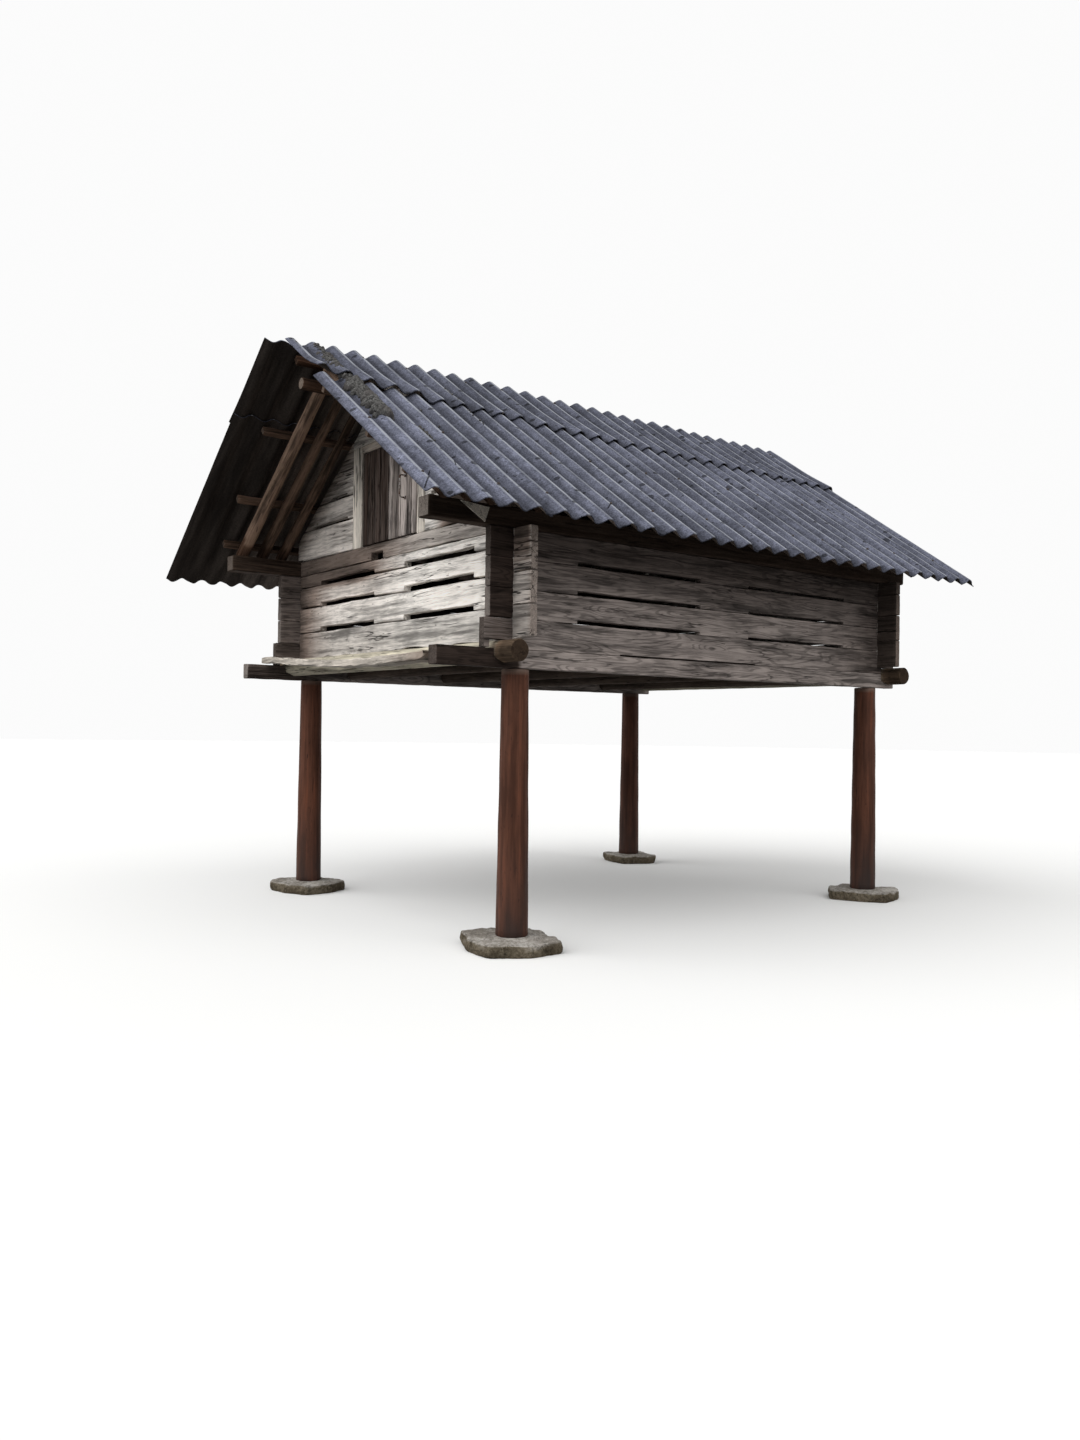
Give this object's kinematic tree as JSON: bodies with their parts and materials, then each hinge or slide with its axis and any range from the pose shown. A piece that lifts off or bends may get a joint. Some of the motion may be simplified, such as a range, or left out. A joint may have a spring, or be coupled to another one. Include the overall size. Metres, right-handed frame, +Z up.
{
  "type": "raised granary",
  "caption": "Timber granary raised on posts and flat stones, with air slots between its hewn planks, a hinged gable hatch and a corrugated sheet roof.",
  "frame": {"origin": "on the ground under the middle of the roof", "axes": "+Z up; the ridge runs nearly along Y and the gable with the hatch faces -Y; +X to the right as one faces that gable"},
  "size_m": [5.174, 6.1154, 4.824],
  "materials": {
    "pad_stone": "rough field stone",
    "post_wood": "smooth debarked post, reddish brown, weathered",
    "frame_wood": "hewn, weathered dark grey-brown",
    "floor_wood": "sawn, weathered",
    "bleached_wood": "sun-bleached, split",
    "gable_wood": "hewn, weathered silver grey",
    "side_wood": "hewn, weathered grey-brown with an open grain",
    "hatch_wood": "rough boards, weathered dark",
    "handle_iron": "bare iron rod, worn bright",
    "pole_wood": "debarked poles, aged brown",
    "roof_sheet": "fibre cement, weathered dark grey, lichen spots"
  },
  "bodies": {
    "granary": {"pad_stones": "pad_stone", "post_front_left": "post_wood", "post_front_right": "post_wood", "post_rear_left": "post_wood", "post_rear_right": "post_wood", "sill_left": "frame_wood", "sill_right": "frame_wood", "cross_beams": "frame_wood", "floor_joists": "frame_wood", "front_tie_beam": "frame_wood", "rear_tie_beam": "frame_wood", "wall_plate_left": "frame_wood", "wall_plate_right": "frame_wood", "floor_boards": "floor_wood", "ledge_board": "bleached_wood", "front_plank_1": "gable_wood", "front_plank_2": "gable_wood", "front_plank_3": "gable_wood", "front_plank_4": "gable_wood", "rear_plank_1": "gable_wood", "rear_plank_2": "gable_wood", "rear_plank_3": "gable_wood", "rear_plank_4": "gable_wood", "left_plank_1": "side_wood", "left_plank_2": "side_wood", "left_plank_3": "side_wood", "left_plank_4": "side_wood", "right_plank_1": "side_wood", "right_plank_2": "side_wood", "right_plank_3": "side_wood", "right_plank_4": "side_wood", "front_gable_left": "gable_wood", "front_gable_right": "gable_wood", "front_gable_top": "gable_wood", "rear_gable_boards": "gable_wood", "hatch_frame": "bleached_wood", "rafters": "pole_wood", "battens": "pole_wood", "ridge_pole": "pole_wood", "lower_sheets_left": "roof_sheet", "lower_sheets_right": "roof_sheet", "upper_sheets_left": "roof_sheet", "upper_sheets_right": "roof_sheet"},
    "hatch": {"hatch_door": "hatch_wood", "hatch_handle": "handle_iron"}
  },
  "joints": [
    {"name": "hatch_swing", "type": "hinge", "parent": "granary", "child": "hatch", "pos_m": [-0.476, -1.925, 3.655], "axis": [0, 0, -1], "range_deg": [0, 90]}
  ]
}
